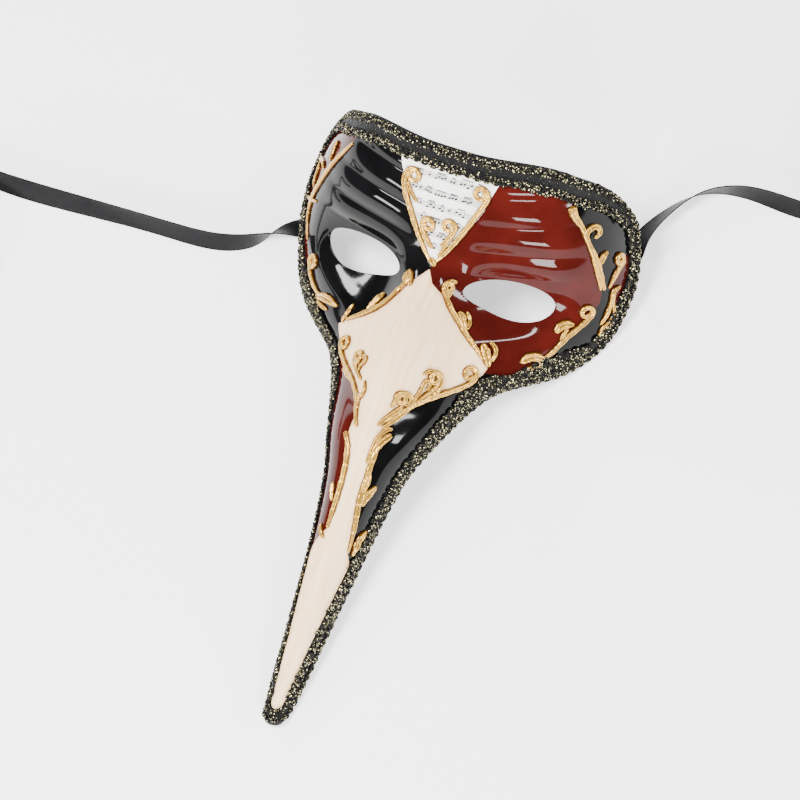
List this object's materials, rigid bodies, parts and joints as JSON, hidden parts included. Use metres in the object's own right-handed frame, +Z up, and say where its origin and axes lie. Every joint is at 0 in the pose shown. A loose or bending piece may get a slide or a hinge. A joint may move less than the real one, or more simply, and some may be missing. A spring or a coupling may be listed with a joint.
{
  "type": "plague doctor mask",
  "caption": "Long-beaked half mask for a masquerade: glossy painted shell with two eye holes, gold relief scrolls, braided rim and two satin ribbon ties.",
  "frame": {"origin": "on the table under the middle of the mask, measured without the ribbons", "axes": "+Y from the beak's tip towards the forehead, +Z up from the table, +X towards the wearer's left temple"},
  "size_m": [0.5504, 0.4204, 0.0943],
  "materials": {
    "shell_gloss": "vacuum formed shell, painted in glossy black, maroon and ivory panels, matte black inside",
    "score_paper": "glued and varnished paper printed with staves and notes",
    "braid": "black gimp braid with pale gold metallic thread",
    "gold_relief": "raised gold metallic relief paint",
    "ribbon_satin": "black double-face satin ribbon",
    "felt": "black felt"
  },
  "bodies": {
    "root": {"shell": "shell_gloss", "music_paper": "score_paper", "braid_beak_left": "braid", "braid_beak_right": "braid", "braid_cheek_left": "braid", "braid_cheek_right": "braid", "braid_forehead": "braid", "braid_temple_left": "braid", "braid_temple_right": "braid", "braid_tip": "braid", "beak_curl_left": "gold_relief", "beak_curl_lower_right": "gold_relief", "beak_curl_upper_right": "gold_relief", "beak_scroll_lower_left": "gold_relief", "beak_scroll_lower_right": "gold_relief", "beak_scroll_upper_left": "gold_relief", "beak_scroll_upper_right": "gold_relief", "beak_tendril_left": "gold_relief", "beak_tendril_right": "gold_relief", "cheek_scroll_left": "gold_relief", "cheek_scroll_right": "gold_relief", "forehead_curl_left": "gold_relief", "forehead_curl_right": "gold_relief", "forehead_scroll_left": "gold_relief", "forehead_scroll_right": "gold_relief", "temple_branch_right": "gold_relief", "temple_scroll_left": "gold_relief", "temple_scroll_right": "gold_relief", "temple_sprig_left": "gold_relief", "temple_sprig_right": "gold_relief", "ribbon_patch_left": "felt", "ribbon_patch_right": "felt", "ribbon_left": "ribbon_satin", "ribbon_right": "ribbon_satin", "ribbon_coil_left": "ribbon_satin", "ribbon_coil_right": "ribbon_satin"}
  },
  "joints": []
}
